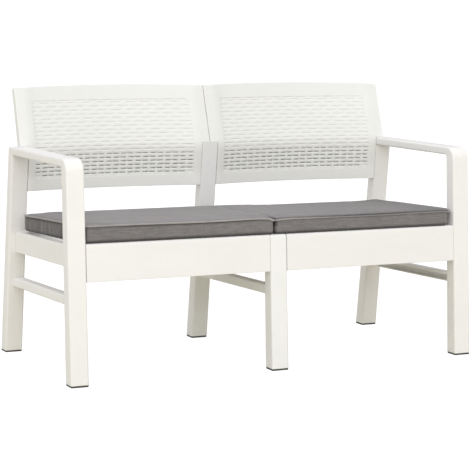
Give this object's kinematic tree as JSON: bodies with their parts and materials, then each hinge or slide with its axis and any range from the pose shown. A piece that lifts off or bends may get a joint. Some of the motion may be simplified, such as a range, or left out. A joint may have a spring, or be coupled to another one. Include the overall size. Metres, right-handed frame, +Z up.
{
  "type": "garden bench",
  "caption": "Two-seat moulded plastic garden bench with arm frames, centre frame, woven-look backrests, deep front aprons and loose seat cushions.",
  "frame": {"origin": "on the ground, in the middle of the bench's footprint (centre of the bounding box's bottom face)", "axes": "+X along the bench, to the right for someone facing it; -Y towards the front; +Z up"},
  "size_m": [1.2, 0.583, 0.7501],
  "materials": {
    "frame_plastic": "off-white moulded polypropylene, satin with a very fine grain",
    "panel_plastic": "off-white moulded polypropylene, satin, woven-look relief",
    "cushion_fabric": "warm grey woven polyester cover with piped seams",
    "foot_rubber": "dark grey soft plastic, matt",
    "zinc_screw": "zinc plated"
  },
  "bodies": {
    "bench": {"centre_frame": "frame_plastic", "foot_centre_front": "foot_rubber", "foot_centre_rear": "foot_rubber", "foot_left_front": "foot_rubber", "foot_left_rear": "foot_rubber", "foot_right_front": "foot_rubber", "foot_right_rear": "foot_rubber", "left_arm_frame": "frame_plastic", "left_back_screw_inner_lower": "zinc_screw", "left_back_screw_inner_upper": "zinc_screw", "left_back_screw_outer_lower": "zinc_screw", "left_back_screw_outer_upper": "zinc_screw", "left_backrest": "panel_plastic", "left_seat": "frame_plastic", "left_seat_screw_inner_front": "zinc_screw", "left_seat_screw_inner_rear": "zinc_screw", "left_seat_screw_outer_front": "zinc_screw", "left_seat_screw_outer_rear": "zinc_screw", "right_arm_frame": "frame_plastic", "right_back_screw_inner_lower": "zinc_screw", "right_back_screw_inner_upper": "zinc_screw", "right_back_screw_outer_lower": "zinc_screw", "right_back_screw_outer_upper": "zinc_screw", "right_backrest": "panel_plastic", "right_seat": "frame_plastic", "right_seat_screw_inner_front": "zinc_screw", "right_seat_screw_inner_rear": "zinc_screw", "right_seat_screw_outer_front": "zinc_screw", "right_seat_screw_outer_rear": "zinc_screw"},
    "cushion_left": {"left_cushion": "cushion_fabric"},
    "cushion_right": {"right_cushion": "cushion_fabric"}
  },
  "joints": [
    {"name": "left_cushion_lift", "type": "slide", "parent": "bench", "child": "cushion_left", "axis": [0, 0, 1], "range_m": [0, 0.14]},
    {"name": "right_cushion_lift", "type": "slide", "parent": "bench", "child": "cushion_right", "axis": [0, 0, 1], "range_m": [0, 0.14]}
  ]
}
